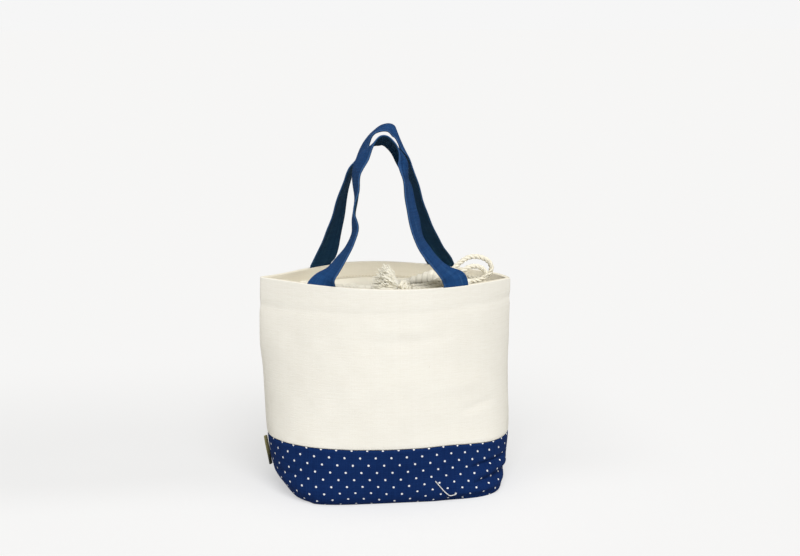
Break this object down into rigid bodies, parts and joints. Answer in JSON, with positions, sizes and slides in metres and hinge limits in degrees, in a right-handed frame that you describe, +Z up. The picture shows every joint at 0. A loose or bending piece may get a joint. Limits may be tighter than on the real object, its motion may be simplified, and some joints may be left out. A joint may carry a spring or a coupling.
{
  "type": "canvas tote bag",
  "caption": "Small canvas tote bag with a dotted base, two strap handles and a rope drawstring in a thin cotton collar inside its rim.",
  "frame": {"origin": "middle of the bag's outline, on the plane that its base stands on", "axes": "+Z up, +X to the right side seam as the front is seen, -Y towards the front"},
  "size_m": [0.2374, 0.1412, 0.3427],
  "materials": {
    "natural_canvas": "plain woven natural canvas",
    "dotted_canvas": "plain woven navy canvas with small white dots",
    "navy_canvas": "plain woven navy canvas strap",
    "cotton": "thin undyed cotton",
    "rope": "twisted undyed cotton rope",
    "label_tape": "woven khaki tape"
  },
  "bodies": {
    "bag": {"front_body_panel": "natural_canvas", "back_body_panel": "natural_canvas", "dotted_base_wrap": "dotted_canvas", "front_rim_facing": "natural_canvas", "back_rim_facing": "natural_canvas", "front_lining": "cotton", "back_lining": "cotton", "lining_floor": "cotton", "front_collar": "cotton", "back_collar": "cotton", "front_handle_left_tail": "navy_canvas", "front_handle_right_tail": "navy_canvas", "rear_handle_left_tail": "navy_canvas", "rear_handle_right_tail": "navy_canvas", "drawstring_in_casing": "rope", "drawstring_upper_strand": "rope", "drawstring_lower_strand": "rope", "drawstring_knot": "rope", "drawstring_tuft": "rope"},
    "front_handle": {"front_handle": "navy_canvas"},
    "rear_handle": {"rear_handle": "navy_canvas"},
    "side_label": {"side_label": "label_tape"}
  },
  "joints": [
    {"name": "front_handle_fold", "type": "hinge", "parent": "bag", "child": "front_handle", "pos_m": [-0.00295, -0.05344, 0.2006], "axis": [0.999, -0.0297, -0.0335], "range_deg": [0, 140]},
    {"name": "rear_handle_fold", "type": "hinge", "parent": "bag", "child": "rear_handle", "pos_m": [0.00036, 0.05667, 0.20186], "axis": [-0.9981, -0.051, 0.0335], "range_deg": [0, 150]},
    {"name": "label_flap", "type": "hinge", "parent": "bag", "child": "side_label", "pos_m": [-0.11169, -0.00108, 0.03631], "axis": [-0.1562, -0.0293, 0.9873], "range_deg": [-105, 20]}
  ]
}
